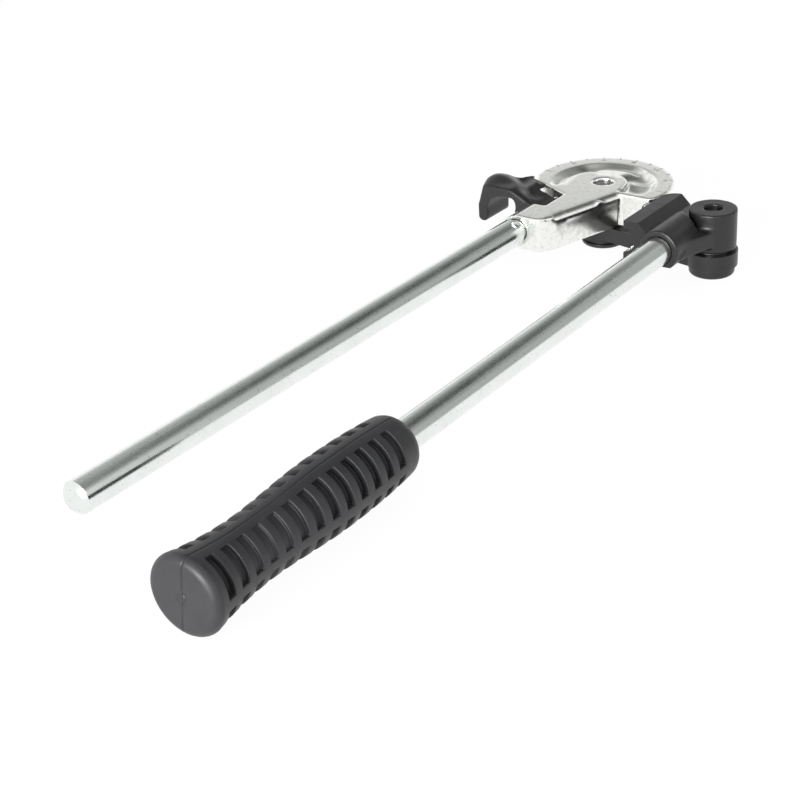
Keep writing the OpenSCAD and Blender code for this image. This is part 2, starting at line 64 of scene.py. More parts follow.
# %% [markdown]
# ## Helpers for colours and nodes
# Colours are written as sRGB hex values, as in any paint program, and turned to linear light for the shader.
# One function adds a shader node: its settings, its plain values and the sockets that feed it. A Mix node has
# several sockets of one name, so those for colours are reached by number, and here the numbers get names.

# %% Colour and node helpers
SHARE, COLOUR_A, COLOUR_B, MIXED = 0, 6, 7, 2


def linear(hex_colour):
    """An sRGB hex colour as linear RGBA."""
    channels = [int(hex_colour[i:i + 2], 16) / 255 for i in (1, 3, 5)]
    return tuple(c / 12.92 if c <= 0.04045 else ((c + 0.055) / 1.055) ** 2.4 for c in channels) + (1.0,)


def put(tree, kind, inputs=None, **settings):
    """Adds a shader node. An input is a value, or the socket that feeds it."""
    node = tree.nodes.new("ShaderNode" + kind)
    for name, value in settings.items():
        setattr(node, name, value)
    for key, value in (inputs or {}).items():
        if isinstance(value, bpy.types.NodeSocket):
            tree.links.new(value, node.inputs[key])
        else:
            node.inputs[key].default_value = value
    return node


def new_material(name):
    """An empty material with its tree, its shader and its Object coordinates."""
    material = bpy.data.materials.new(name)
    material.use_nodes = True
    tree = material.node_tree
    return material, tree, tree.nodes["Principled BSDF"], put(tree, "TexCoord").outputs["Object"]


def per_mm(size):
    """The texture scale that gives features of a size in millimetres."""
    return 1 / (size * MM)


print("a mid grey in linear light:", [round(c, 3) for c in linear("#808080")])

# %% [markdown]
# ## Camera
# The photograph was taken with a fairly long lens from the right and above. Its place was fitted to the edges
# of the tool, so the render lies over the photograph line by line.

# %% Camera
AZIMUTH, ELEVATION, ROLL = (math.radians(a) for a in (37.886, 27.372, -3.474))
CAMERA_AT = Vector((487.76, -833.20, 397.51)) * MM
FOCAL_PX, IMAGE_PX, SENSOR_MM = 1734.0, 800, 36.0
NEAREST, FARTHEST = 0.01, 50

forward = Vector((
    -math.sin(AZIMUTH) * math.cos(ELEVATION),
    math.cos(AZIMUTH) * math.cos(ELEVATION),
    -math.sin(ELEVATION),
))
level_right = Vector((math.cos(AZIMUTH), math.sin(AZIMUTH), 0))
level_up = level_right.cross(forward)
camera_right = level_right * math.cos(ROLL) + level_up * math.sin(ROLL)
camera_up = level_up * math.cos(ROLL) - level_right * math.sin(ROLL)
camera_turn = Matrix((camera_right, camera_up, -forward)).transposed()

camera = bpy.data.objects.new("camera", bpy.data.cameras.new("camera"))
camera.data.sensor_width = SENSOR_MM
camera.data.lens = SENSOR_MM * FOCAL_PX / IMAGE_PX
camera.data.clip_start, camera.data.clip_end = NEAREST, FARTHEST
camera.matrix_world = Matrix.Translation(CAMERA_AT) @ camera_turn.to_4x4()
bpy.context.scene.collection.objects.link(camera)
bpy.context.scene.camera = camera
bpy.context.scene.view_settings.view_transform = "Standard"
print("lens in mm:", round(camera.data.lens, 1))

# %% [markdown]
# ## Cast aluminium, tumbled
# The former is cast, its edges are rounded by tumbling, and it is bright all over. Tumbling leaves a fine,
# uneven skin, so the reflections are soft and a little mottled. Noise at three sizes does that: patches of a
# few millimetres change the tone and the gloss, and two other noises raise the surface in waves and in pits.

# %% Cast aluminium


def cast_aluminium():
    material, tree, shader, place = new_material("cast_aluminium_tumbled")
    patches = put(tree, "TexNoise", {"Vector": place, "Scale": per_mm(2.4), "Detail": 5.0, "Roughness": 0.6})
    skin = put(tree, "TexNoise", {"Vector": place, "Scale": per_mm(3.5), "Detail": 2.0})
    grain = put(tree, "TexNoise", {"Vector": place, "Scale": per_mm(0.7), "Detail": 2.0})
    mottle = put(tree, "MapRange", {
        "Value": patches.outputs["Fac"], "From Min": 0.45, "From Max": 0.75, "To Min": 0.0, "To Max": 1.0,
    })
    tone = put(tree, "Mix", {
        SHARE: mottle.outputs["Result"], COLOUR_A: linear("#F6F6F3"), COLOUR_B: linear("#E2E2DE"),
    }, data_type="RGBA")
    gloss = put(tree, "MapRange", {
        "Value": patches.outputs["Fac"], "From Min": 0.3, "From Max": 0.7, "To Min": 0.13, "To Max": 0.26,
    })
    waves = put(tree, "Bump", {"Height": skin.outputs["Fac"], "Strength": 0.2, "Distance": 0.1 * MM})
    pits = put(tree, "Bump", {
        "Height": grain.outputs["Fac"], "Normal": waves.outputs["Normal"],
        "Strength": 0.55, "Distance": 0.03 * MM,
    })
    tree.links.new(tone.outputs[MIXED], shader.inputs["Base Color"])
    tree.links.new(gloss.outputs["Result"], shader.inputs["Roughness"])
    tree.links.new(pits.outputs["Normal"], shader.inputs["Normal"])
    shader.inputs["Metallic"].default_value = 1.0
    return material


aluminium = cast_aluminium()
print("made", aluminium.name)

# %% [markdown]
# ## Plated steel, drawn
# The handle rods are drawn bar with a thin bright zinc plate. Drawing leaves fine lines along the bar, so the
# noise is stretched along Y. Real lines are too fine to show, so these are drawn coarser. The plate is a
# little cloudy, with small dull specks from handling.

# %% Plated steel


def plated_steel():
    material, tree, shader, place = new_material("zinc_plated_steel_drawn")
    along = put(tree, "Mapping", {"Vector": place, "Scale": (1.0, 0.02, 1.0)})
    lines = put(tree, "TexNoise", {"Vector": along.outputs["Vector"], "Scale": per_mm(0.7), "Detail": 4.0})
    cloud = put(tree, "TexNoise", {"Vector": place, "Scale": per_mm(14), "Detail": 5.0, "Roughness": 0.65})
    specks = put(tree, "TexNoise", {"Vector": place, "Scale": per_mm(1.3), "Detail": 2.0})
    speck_mask = put(tree, "MapRange", {
        "Value": specks.outputs["Fac"], "From Min": 0.64, "From Max": 0.74, "To Min": 0.0, "To Max": 1.0,
    })
    plate = put(tree, "Mix", {
        SHARE: cloud.outputs["Fac"], COLOUR_A: linear("#F3F6F5"), COLOUR_B: linear("#E3E7E3"),
    }, data_type="RGBA")
    tone = put(tree, "Mix", {
        SHARE: speck_mask.outputs["Result"], COLOUR_A: plate.outputs[MIXED], COLOUR_B: linear("#BFC3BE"),
    }, data_type="RGBA")
    gloss = put(tree, "MapRange", {
        "Value": cloud.outputs["Fac"], "From Min": 0.3, "From Max": 0.7, "To Min": 0.14, "To Max": 0.24,
    })
    ridges = put(tree, "Bump", {"Height": lines.outputs["Fac"], "Strength": 0.2, "Distance": 0.03 * MM})
    tree.links.new(tone.outputs[MIXED], shader.inputs["Base Color"])
    tree.links.new(gloss.outputs["Result"], shader.inputs["Roughness"])
    tree.links.new(ridges.outputs["Normal"], shader.inputs["Normal"])
    shader.inputs["Metallic"].default_value = 1.0
    return material


plated = plated_steel()
print("made", plated.name)

# %% [markdown]
# ## Black paint on castings
# Hook, link, lever head, shoe and caps are castings under a satin black coat. The coat hides the casting's
# skin only in part: it is slightly wavy, its gloss is uneven, and rubbing has made it greyer in patches.

# %% Satin paint


def satin_paint():
    material, tree, shader, place = new_material("black_paint_on_castings")
    patches = put(tree, "TexNoise", {"Vector": place, "Scale": per_mm(8), "Detail": 6.0, "Roughness": 0.62})
    skin = put(tree, "TexNoise", {"Vector": place, "Scale": per_mm(1.6), "Detail": 4.0})
    tone = put(tree, "Mix", {
        SHARE: patches.outputs["Fac"], COLOUR_A: linear("#19191A"), COLOUR_B: linear("#272626"),
    }, data_type="RGBA")
    gloss = put(tree, "MapRange", {
        "Value": patches.outputs["Fac"], "From Min": 0.3, "From Max": 0.7, "To Min": 0.26, "To Max": 0.44,
    })
    waves = put(tree, "Bump", {"Height": skin.outputs["Fac"], "Strength": 0.3, "Distance": 0.09 * MM})
    tree.links.new(tone.outputs[MIXED], shader.inputs["Base Color"])
    tree.links.new(gloss.outputs["Result"], shader.inputs["Roughness"])
    tree.links.new(waves.outputs["Normal"], shader.inputs["Normal"])
    return material


paint = satin_paint()
print("made", paint.name)

# %% [markdown]
# ## Moulded rubber
# The grip is a dark, soft moulding. Its mould was spark-eroded, which leaves an even grain and keeps the
# surface matt. The real grain is too fine to show, so it is drawn coarser here. Slow noise stands for the
# bloom that makes old rubber greyer here and there.

# %% Moulded rubber


def moulded_rubber():
    material, tree, shader, place = new_material("black_rubber_moulded")
    bloom = put(tree, "TexNoise", {"Vector": place, "Scale": per_mm(12), "Detail": 5.0, "Roughness": 0.6})
    grain = put(tree, "TexNoise", {"Vector": place, "Scale": per_mm(0.6), "Detail": 2.0})
    tone = put(tree, "Mix", {
        SHARE: bloom.outputs["Fac"], COLOUR_A: linear("#28282A"), COLOUR_B: linear("#3A3A3D"),
    }, data_type="RGBA")
    gloss = put(tree, "MapRange", {
        "Value": bloom.outputs["Fac"], "From Min": 0.3, "From Max": 0.7, "To Min": 0.36, "To Max": 0.52,
    })
    pores = put(tree, "Bump", {"Height": grain.outputs["Fac"], "Strength": 0.35, "Distance": 0.06 * MM})
    tree.links.new(tone.outputs[MIXED], shader.inputs["Base Color"])
    tree.links.new(gloss.outputs["Result"], shader.inputs["Roughness"])
    tree.links.new(pores.outputs["Normal"], shader.inputs["Normal"])
    return material


rubber = moulded_rubber()
print("made", rubber.name)

# %% [markdown]
# ## Turned and etched metals
# Pins, rings and washers are plain turned steel, the bushes are bronze, and the marks of the degree scale are
# etched grey. The steel is toned darker than bare steel. That is painted shade, so pin ends sunk in bores read
# dark.
# All of them are small, so one function with a fine noise in tone and gloss is enough.

# %% Turned and etched metals


def small_metal(name, bright, dull, smoothest, roughest):
    material, tree, shader, place = new_material(name)
    marks = put(tree, "TexNoise", {"Vector": place, "Scale": per_mm(1.5), "Detail": 4.0})
    tone = put(tree, "Mix", {
        SHARE: marks.outputs["Fac"], COLOUR_A: linear(bright), COLOUR_B: linear(dull),
    }, data_type="RGBA")
    gloss = put(tree, "MapRange", {
        "Value": marks.outputs["Fac"], "From Min": 0.3, "From Max": 0.7,
        "To Min": smoothest, "To Max": roughest,
    })
    tree.links.new(tone.outputs[MIXED], shader.inputs["Base Color"])
    tree.links.new(gloss.outputs["Result"], shader.inputs["Roughness"])
    shader.inputs["Metallic"].default_value = 1.0
    return material


# Steel tone darker than bare steel: painted shade for the pin ends sunk in their bores.
steel_darkened_as_shade = small_metal("steel_turned_painted_shade", "#7F8183", "#616365", 0.24, 0.4)
bronze = small_metal("bronze_turned", "#B08D52", "#96763F", 0.28, 0.42)
etched = small_metal("aluminium_etched_marks", "#B9B9B5", "#9A9A96", 0.45, 0.6)
print("made", steel_darkened_as_shade.name, bronze.name, etched.name)

# %% [markdown]
# ## Finishing a piece
# Every piece ends the same way: the bmesh becomes an object at the origin, it gets its material, and it rides
# on the body of a CAD node. A piece that stands for that node also hides it. Weighted normals keep the flat
# faces of a bevelled piece flat.

# %% Finish a piece
JOINTS = {joint["name"]: joint for joint in frame["record"]["behaviour"]["joints"]}
LEVER_AXIS = Vector(JOINTS["lever_pivot"]["pos_m"])
BODY_OF = {node: body for body, nodes in frame["record"]["behaviour"]["bodies"].items() for node in nodes}
CAD_MERGE, NEW_MERGE = 0.002 * MM, 0.001 * MM
FLAT_DEG, CREASE_DEG, NO_CREASE = 0.6, 38, 180


def finish_piece(name, bm, node, material, crease=CREASE_DEG):
    """Turns a bmesh into a piece that rides with a CAD node's body."""
    mesh = bpy.data.meshes.new(name)
    bm.to_mesh(mesh)
    bm.free()
    mesh.materials.append(material)
    mesh.shade_smooth()
    mesh.set_sharp_from_angle(angle=math.radians(crease))
    piece = bpy.data.objects.new(name, mesh)
    bpy.context.scene.collection.objects.link(piece)
    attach(piece, BODY_OF[node])
    print(name, len(mesh.vertices), "vertices")
    return piece


def stand_in(node, bm, material, crease=CREASE_DEG, flat_faces=False):
    """Turns a bmesh into the piece that is seen in place of a CAD node."""
    piece = finish_piece(node + "_piece", bm, node, material, crease)
    if flat_faces:
        piece.modifiers.new("flat_faces", "WEIGHTED_NORMAL").keep_sharp = True
    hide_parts(node)


def merged_copy(node):
    """A bmesh copy of a CAD node, with its loose triangles merged and its flat ones dissolved."""
    bm = bmesh.new()
    bm.from_mesh(frame["nodes"][node].data)
    bmesh.ops.remove_doubles(bm, verts=bm.verts, dist=CAD_MERGE)
    bmesh.ops.dissolve_limit(bm, angle_limit=math.radians(FLAT_DEG), verts=bm.verts, edges=bm.edges)
    return bm


print("bodies:", sorted(set(BODY_OF.values())))

# %% [markdown]
# ## Machined pieces: softened edges
# Shoe, link, caps and rods are sawn, turned or milled, so their faces are true and only their edges are
# broken. A copy of the CAD mesh is bevelled where it is sharp.

# %% Machined pieces
SHARP_DEG, BROKEN_EDGE_STEPS = 28, 3


def folds(bm, angle_deg):
    """The edges whose two faces meet at more than an angle."""
    return [e for e in bm.edges if len(e.link_faces) == 2 and e.calc_face_angle() > math.radians(angle_deg)]


def round_edges(bm, edges, width, steps):
    """Bevels edges round, to a width in millimetres."""
    bmesh.ops.bevel(bm, geom=edges, offset=width * MM, offset_type="OFFSET", affect="EDGES",
                    segments=steps, profile=0.5, material=-1, clamp_overlap=True)


def softened(node, width, material):
    """Shows a CAD node with its sharp edges rounded to a width in millimetres."""
    bm = merged_copy(node)
    round_edges(bm, folds(bm, SHARP_DEG), width, BROKEN_EDGE_STEPS)
    stand_in(node, bm, material, flat_faces=True)


softened("forming_shoe", 0.5, paint)
softened("link", 0.8, paint)
softened("pivot_cap", 0.4, paint)
softened("lever_cap", 0.4, paint)
softened("fixed_rod", 0.3, plated)
softened("lever_rod", 0.3, plated)

# %% [markdown]
# ## Cast pieces: round edges and filled corners
# A casting has no sharp line anywhere: outer edges are round, and inner corners are filled. The CAD copy is
# remeshed into small even squares, and rounds of smoothing then do both at once, as a pattern maker's fillets
# would. More rounds on a part of the mesh give a larger radius there.

# %% Cast pieces


def cast_skin(node, voxel, add_to=None):
    """A bmesh copy of a CAD node and what is added to it, as even squares of a size in millimetres."""
    bm = merged_copy(node)
    bmesh.ops.triangulate(bm, faces=bm.faces)
    if add_to:
        add_to(bm)
    mesh = bpy.data.meshes.new("skin")
    bm.to_mesh(mesh)
    bm.clear()
    holder = bpy.data.objects.new("skin", mesh)
    bpy.context.scene.collection.objects.link(holder)
    even = holder.modifiers.new("even", "REMESH")
    even.mode, even.voxel_size = "VOXEL", voxel * MM
    squares = bpy.data.meshes.new_from_object(holder.evaluated_get(bpy.context.evaluated_depsgraph_get()))
    bm.from_mesh(squares)
    bpy.data.objects.remove(holder)
    bpy.data.meshes.remove(mesh)
    bpy.data.meshes.remove(squares)
    return bm


def round_off(bm, rounds, where=lambda p: True):
    """Smooths the vertices whose place in millimetres passes a test."""
    verts = [v for v in bm.verts if where(v.co / MM)]
    for _ in range(rounds):
        bmesh.ops.smooth_vert(bm, verts=verts, factor=0.5, use_axis_x=True, use_axis_y=True, use_axis_z=True)


def hill(distance, reach):
    """1 at the middle, falling smoothly to 0 at a reach."""
    t = max(0.0, 1 - distance / reach)
    return t * t * (3 - 2 * t)


print("a hill at its middle, half way and at its reach:", [hill(d, 1) for d in (0, 0.5, 1)])

# %% [markdown]
# ## Former: bead, wall and fills
# The neck's upper edge is a round bead, and an upright wall stands below it. A bar with a ball at each end
# makes the bead, and a flat block makes the wall. A small block and a round post fill the corner at the neck's
# near end, and a last block fills the hollow at the chord. The remesh fuses all of them with the copy.

# %% Bead, wall and fills
MID_Z = LEVER_AXIS.z / MM
FORMER_TOP = max(v.co.z for v in frame["nodes"]["former"].data.vertices) / MM
UP = Vector((0, 0, 1))
NECK_WAIST, NECK_ROOT, BEAD_R = Vector((4.93, -59.4, 0)), Vector((18.5, -12.8, 0)), 4.2
NECK_RUN = NECK_ROOT - NECK_WAIST
NECK_OUT = Vector((NECK_RUN.y, -NECK_RUN.x, 0)).normalized()
BEAD_SIDES, POST_SIDES, FORMER_SQUARE = 32, 48, 0.6
WALL_H, WALL_T = 13.0, 3.0
CORNER_Z = FORMER_TOP - BEAD_R / 2
CORNER_AT, CORNER_SIZE, CORNER_DEG = Vector((0.42, -62.55, CORNER_Z)), (5.8, 5, BEAD_R), 61.9
POST_AT, POST_R = Vector((-3.5, -64.8, CORNER_Z)), 5.0
CHORD_AT, CHORD_SIZE = Vector((24.5, -10.4, MID_Z)), (17, 4.6, WALL_H)


def add_box(bm, at, size, turn=0.0):
    """Adds a box with a centre and a size in millimetres, turned about Z."""
    place = Matrix.Translation(at * MM) @ Matrix.Rotation(turn, 4, "Z")
    bmesh.ops.create_cube(bm, size=1, matrix=place @ Matrix.Diagonal((*(s * MM for s in size), 1)))


def add_bar(bm, at, radius, length, sides, turn=Matrix()):
    """Adds a round bar with a centre and a size in millimetres, upright unless it is turned."""
    bmesh.ops.create_cone(bm, cap_ends=True, segments=sides, radius1=radius * MM, radius2=radius * MM,
                          depth=length * MM, matrix=Matrix.Translation(at * MM) @ turn)


def bead_and_fills(bm):
    """Adds the bead, the wall below it, and what fills the near corner and the chord."""
    middle = (NECK_WAIST + NECK_ROOT) / 2
    lift = UP * (FORMER_TOP - BEAD_R) - NECK_OUT * BEAD_R
    lie_down = UP.rotation_difference(NECK_RUN).to_matrix().to_4x4()
    add_bar(bm, middle + lift, BEAD_R, NECK_RUN.length, BEAD_SIDES, lie_down)
    for tip in (NECK_WAIST, NECK_ROOT):
        bmesh.ops.create_uvsphere(bm, u_segments=24, v_segments=12, radius=BEAD_R * MM,
                                  matrix=Matrix.Translation((tip + lift) * MM))
    wall_at = middle - NECK_OUT * WALL_T / 2 + UP * MID_Z
    add_box(bm, wall_at, (NECK_RUN.length, WALL_T, WALL_H), math.atan2(NECK_RUN.y, NECK_RUN.x))
    add_bar(bm, POST_AT, POST_R, BEAD_R, POST_SIDES)
    add_box(bm, CORNER_AT, CORNER_SIZE, math.radians(CORNER_DEG))
    add_box(bm, CHORD_AT, CHORD_SIZE)


former = cast_skin("former", FORMER_SQUARE, bead_and_fills)
print("former's skin:", len(former.verts), "vertices")

# %% [markdown]
# ## Former: pocket
# The pocket is a dish with a sloping outer wall. Its left end is pointed and runs out between the rim and the
# notch, and the wall is wider there. On the far side the floor rises to the hub, and on the right it sinks
# into two lobes. A rule of this kind is easier to write for one point than to build from solids, so each
# vertex of the pocket is simply pressed to the depth that the slopes give it.

# %% Pocket
POCKET_R, POCKET_DEPTH, POCKET_SLACK, RIM_SLACK = 31.25, 3.2, 0.6, 0.5
WALL_RUN, WALL_RUN_AT_TIP = 4.4, 6.0
HUB_TOP_R, HUB_BREAK_R, HUB_SLOPE, HUB_FALL = 9.5, 22.5, 0.08, 0.5
SHOULDER, NOTCH_CORNER = Vector((-35.3, -16.7)), Vector((-9.8, -28.2))
NOTCH_EDGE = NOTCH_CORNER - SHOULDER
TIP_EDGE, TIP_EDGE_SLOPE, TIP_FROM_R, TIP_SLOPE = 1.8, 0.8, 19.0, 0.3
LOBES = ((Vector((21, 4)), 13, 2.6), (Vector((17, 17)), 9, 1.5))
FAR_SIDE, LEFT_END = (100, 22, 22), (180, 12, 32)


def sector(p, middle, half_width, fade):
    """1 in a sector round the hub, falling to 0 beside it. All three angles are in degrees."""
    away = abs((math.degrees(math.atan2(p.y, p.x)) - middle + 180) % 360 - 180)
    return hill(max(0, away - half_width), fade)


def tip_depth(p, r):
    """How deep the pocket's pointed left end is, between the rim and the edge of the notch."""
    inside = NOTCH_EDGE.cross(p.xy - SHOULDER) / NOTCH_EDGE.length - TIP_EDGE
    depth = min(POCKET_DEPTH, TIP_EDGE_SLOPE * inside, (r - TIP_FROM_R) * TIP_SLOPE)
    return max(0.0, depth) * sector(p, *LEFT_END)


def dish(bm):
    """Presses the top of the pocket into slopes."""
    for v in bm.verts:
        p = v.co / MM
        r = math.hypot(p.x, p.y)
        depth = FORMER_TOP - p.z
        if depth > POCKET_DEPTH + POCKET_SLACK or not HUB_TOP_R <= r <= POCKET_R + RIM_SLACK:
            continue
        wall_run = WALL_RUN + WALL_RUN_AT_TIP * sector(p, *LEFT_END)
        wall = POCKET_DEPTH * min(1, max(0, POCKET_R - r) / wall_run)
        ramp = (min(r, HUB_BREAK_R) - HUB_TOP_R) * HUB_SLOPE + max(0, r - HUB_BREAK_R) * HUB_FALL
        lobe = max(deep * hill((p.xy - at).length, reach) for at, reach, deep in LOBES)
        share = sector(p, *FAR_SIDE)
        floor = (1 - share) * min(max(depth, tip_depth(p, r)), wall) + share * min(ramp, wall)
        v.co.z = (FORMER_TOP - lobe * min(1, depth / POCKET_DEPTH) - floor) * MM


dish(former)
print("pocket pressed to", POCKET_DEPTH, "mm")

# %% [markdown]
# ## Former: wall and smoothing
# The wall stands back a little under the bead, and its lower half has the draft that lets a casting leave its
# mould. Then the skin is smoothed, more on the top than below, and most round the near end of the neck.

# %% Former
WALL_TOP, WALL_INSET, WALL_DRAFT, WALL_START, WALL_STOP = 5.0, 0.25, 0.02, 5.0, 1.0
WALL_BACK, WALL_FRONT = -4, 1
TOP_FROM, WAIST_FROM, WAIST_REACH = MID_Z + 2, MID_Z + 1, 8
FORMER_ROUNDS, TOP_ROUNDS, WAIST_ROUNDS = 4, 8, 25


def press_wall(bm):
    """Presses the neck's wall back under the bead, and its lower half to the draft of the mould."""
    for v in bm.verts:
        p = v.co / MM
        along = (p - NECK_WAIST).dot(NECK_RUN) / NECK_RUN.length
        out = (p - NECK_WAIST).dot(NECK_OUT)
        rise = p.z - MID_Z
        on_wall = 0 < along < NECK_RUN.length - WALL_STOP and WALL_BACK < out < WALL_FRONT
        if on_wall and rise < WALL_TOP:
            press = min(0, -WALL_INSET - WALL_DRAFT * max(0, -rise) - out)
            v.co += NECK_OUT * press * min(1, along / WALL_START) * MM


press_wall(former)
round_off(former, FORMER_ROUNDS)
round_off(former, TOP_ROUNDS, lambda p: p.z > TOP_FROM)
round_off(former, WAIST_ROUNDS, lambda p: p.z > WAIST_FROM and (p.xy - NECK_WAIST.xy).length < WAIST_REACH)
stand_in("former", former, aluminium, NO_CREASE)

# %% [markdown]
# ## Lever head
# The head joins the boss to the sleeve with a web. Its corners get a larger radius than the rim of the boss.

# %% Lever head
HEAD_SQUARE, HEAD_ROUNDS, WEB_ROUNDS = 0.5, 6, 30
WEB_TOP, WEB_LEFT, WEB_NEAR, WEB_FAR = MID_Z + 8, 66, -46, -14

head = cast_skin("lever_head", HEAD_SQUARE)
round_off(head, HEAD_ROUNDS)
round_off(head, WEB_ROUNDS, lambda p: p.z < WEB_TOP and p.x > WEB_LEFT and WEB_NEAR < p.y < WEB_FAR)
stand_in("lever_head", head, paint, NO_CREASE)

# %% [markdown]
# ## Hook
# The hook folds over the tube. Its crown is a round dome, and between the crown and the former lies a scoop
# with a thin lip along the notch. The lip is a block that the remesh fuses with the copy. Dome and scoop are
# modelled as in clay: the skin is raised under the dome and pressed in along a line, and then smoothed, most
# on the crown.

# %% Hook
DOME, DOME_REACH, DOME_RISE = Vector((-50, -34)), 14, 2.4
SCOOP_FROM, SCOOP_TO, SCOOP_REACH, SCOOP_DEPTH = Vector((-41, -23)), Vector((-27, -36)), 8.5, 3.1
LIP_SIZE, LIP_ALONG, LIP_OFF, LIP_Z = (14.0, 5.6, 2.6), 4.5, 3.7, MID_Z + 10.2
CLAY_FROM, FACING_UP = MID_Z + 4, 0.3
CROWN_FROM, CROWN_RIGHT, CROWN_LEFT, CROWN_NEAR = MID_Z + 3, -22, -43, -26
HOOK_SQUARE, HOOK_ROUNDS, CROWN_ROUNDS = 0.45, 12, 36


def notch_lip(bm):
    """Adds the thin wall between the hook and the edge of its notch."""
    off_edge = Vector((NOTCH_EDGE.y, -NOTCH_EDGE.x)).normalized()
    at = SHOULDER + NOTCH_EDGE.normalized() * LIP_ALONG + off_edge * LIP_OFF
    add_box(bm, Vector((at.x, at.y, LIP_Z)), LIP_SIZE, math.atan2(NOTCH_EDGE.y, NOTCH_EDGE.x))


def dome_and_scoop(bm):
    """Raises the dome and presses the scoop in, where the skin faces up."""
    bm.normal_update()
    line = SCOOP_TO - SCOOP_FROM
    for v in bm.verts:
        p = v.co.xy / MM
        if v.co.z / MM > CLAY_FROM and v.normal.z > FACING_UP:
            along = min(1, max(0, (p - SCOOP_FROM).dot(line) / line.length_squared))
            scoop = hill((p - SCOOP_FROM - line * along).length, SCOOP_REACH) * SCOOP_DEPTH
            v.co.z += (hill((p - DOME).length, DOME_REACH) * DOME_RISE - scoop) * MM


def on_crown(p):
    """True on the upper part of the hook's left and near sides."""
    return p.z > CROWN_FROM and p.x < CROWN_RIGHT and (p.x < CROWN_LEFT or p.y < CROWN_NEAR)


hook = cast_skin("tube_hook", HOOK_SQUARE, notch_lip)
dome_and_scoop(hook)
round_off(hook, HOOK_ROUNDS)
round_off(hook, CROWN_ROUNDS, on_crown)
stand_in("tube_hook", hook, paint, NO_CREASE)

# %% [markdown]
# ## Grip: outline
# The grip is drawn again here, because its slots have round edges and its mould left a seam. Its outline runs
# from the small mark of the mould's gate over the closed end, along waist and swell to the mouth, and back in
# the bore. It has a point at each edge of a slot. Spun round in steps of three degrees, it also has an edge at
# each end of the slots.

# %% Grip outline
GRIP_LEN, GRIP_END_R, GRIP_WAIST_R, GRIP_SWELL_R, GRIP_MOUTH_R = 143.5, 18.48, 15.0, 17.25, 15.4
GRIP_FLARE, GRIP_ROUND, GRIP_END_T, ROD_HOLE_R = 4.0, 7.0, 5.0, 8.03
GRIP_BODY, WAIST_AT, SWELL_AT, MOUTH_CURVE = GRIP_LEN - GRIP_ROUND, 0.29 * GRIP_LEN, 0.64 * GRIP_LEN, 2.5
GATE_MARK = [(0.0, 0.1), (1.1, 0.1), (1.5, 0.5), (2.6, 0.5), (3.4, 0.0)]
SLOT_COUNT, SLOT_W, SLOT_SPAN, SLOT_ROWS = 13, 5.0, 66, (35, 131, 215, 311)
FIRST_SLOT, LAST_SLOT = 10.3, GRIP_LEN - 18
SLOT_PITCH = (LAST_SLOT - FIRST_SLOT) / (SLOT_COUNT - 1)
SLOT_PLACES = [FIRST_SLOT + i * SLOT_PITCH for i in range(SLOT_COUNT)]
SPIN_STEP, CORNER_STEPS = 3, 6


def grip_radius(t):
    """The grip's radius at a distance from its closed end: flare, waist, swell and mouth."""
    if t < WAIST_AT:
        return GRIP_WAIST_R + (GRIP_END_R - GRIP_WAIST_R) * ((WAIST_AT - t) / (WAIST_AT - GRIP_FLARE)) ** 2
    if t < SWELL_AT:
        s = (t - WAIST_AT) / (SWELL_AT - WAIST_AT)
        return GRIP_WAIST_R + (GRIP_SWELL_R - GRIP_WAIST_R) * s * s * (3 - 2 * s)
    s = (t - SWELL_AT) / (GRIP_BODY - SWELL_AT)
    return GRIP_SWELL_R - (GRIP_SWELL_R - GRIP_MOUTH_R) * s ** MOUTH_CURVE


def corner(r, t, radius, start, stop):
    """Points of a round corner as radius and distance along the grip."""
    steps = range(CORNER_STEPS + 1)
    angles = [math.radians(start + (stop - start) * i / CORNER_STEPS) for i in steps]
    return [(r + radius * math.cos(a), t + radius * math.sin(a)) for a in angles]


def grip_outline():
    """The whole outline as pairs of radius and distance from the closed end."""
    slot_edges = [t + side * SLOT_W / 2 for t in SLOT_PLACES for side in (-1, 0, 1)]
    ribs = [t + SLOT_PITCH / 2 for t in SLOT_PLACES]
    side = [(grip_radius(t), t) for t in sorted(slot_edges + ribs)]
    end = corner(GRIP_END_R - GRIP_FLARE, GRIP_FLARE, GRIP_FLARE, -90, 0)
    mouth = corner(GRIP_MOUTH_R - GRIP_ROUND, GRIP_BODY, GRIP_ROUND, 0, 90)
    bore = [(ROD_HOLE_R, GRIP_LEN), (ROD_HOLE_R, GRIP_END_T), (0.0, GRIP_END_T)]
    return GATE_MARK + end + side + mouth + bore


def spun_grip():
    """The grip without slots, round Z."""
    bm = bmesh.new()
    start = math.radians(SLOT_ROWS[0] - SLOT_SPAN / 2)
    ring = [
        bm.verts.new((r * MM * math.cos(start), r * MM * math.sin(start), t * MM))
        for r, t in grip_outline()
    ]
    edges = [bm.edges.new(pair) for pair in zip(ring, ring[1:])]
    bmesh.ops.spin(bm, geom=ring + edges, cent=(0, 0, 0), axis=(0, 0, 1), angle=math.tau,
                   steps=360 // SPIN_STEP, use_merge=True)
    bmesh.ops.remove_doubles(bm, verts=bm.verts, dist=NEW_MERGE)
    bmesh.ops.recalc_face_normals(bm, faces=bm.faces)
    return bm


grip = spun_grip()
print("plain grip:", len(grip.faces), "faces")

# %% [markdown]
# ## Grip: slots
# The faces of the slots are pushed in to one radius, so the slots are shallow at the waist and deep at the
# swell. Pushing leaves upright walls, and their rims are bevelled, as rubber has no sharp edges. The bore and
# the mark of the gate keep their edges.

# %% Grip slots
SLOT_FLOOR_R, RIM_ROUND, RIM_DEG, RIM_STEPS = 13.6, 0.45, 45, 2
SKIN_R = ROD_HOLE_R + 2


def from_axis(co):
    """How far a point is from the grip's axis, in millimetres."""
    return math.hypot(co.x, co.y) / MM


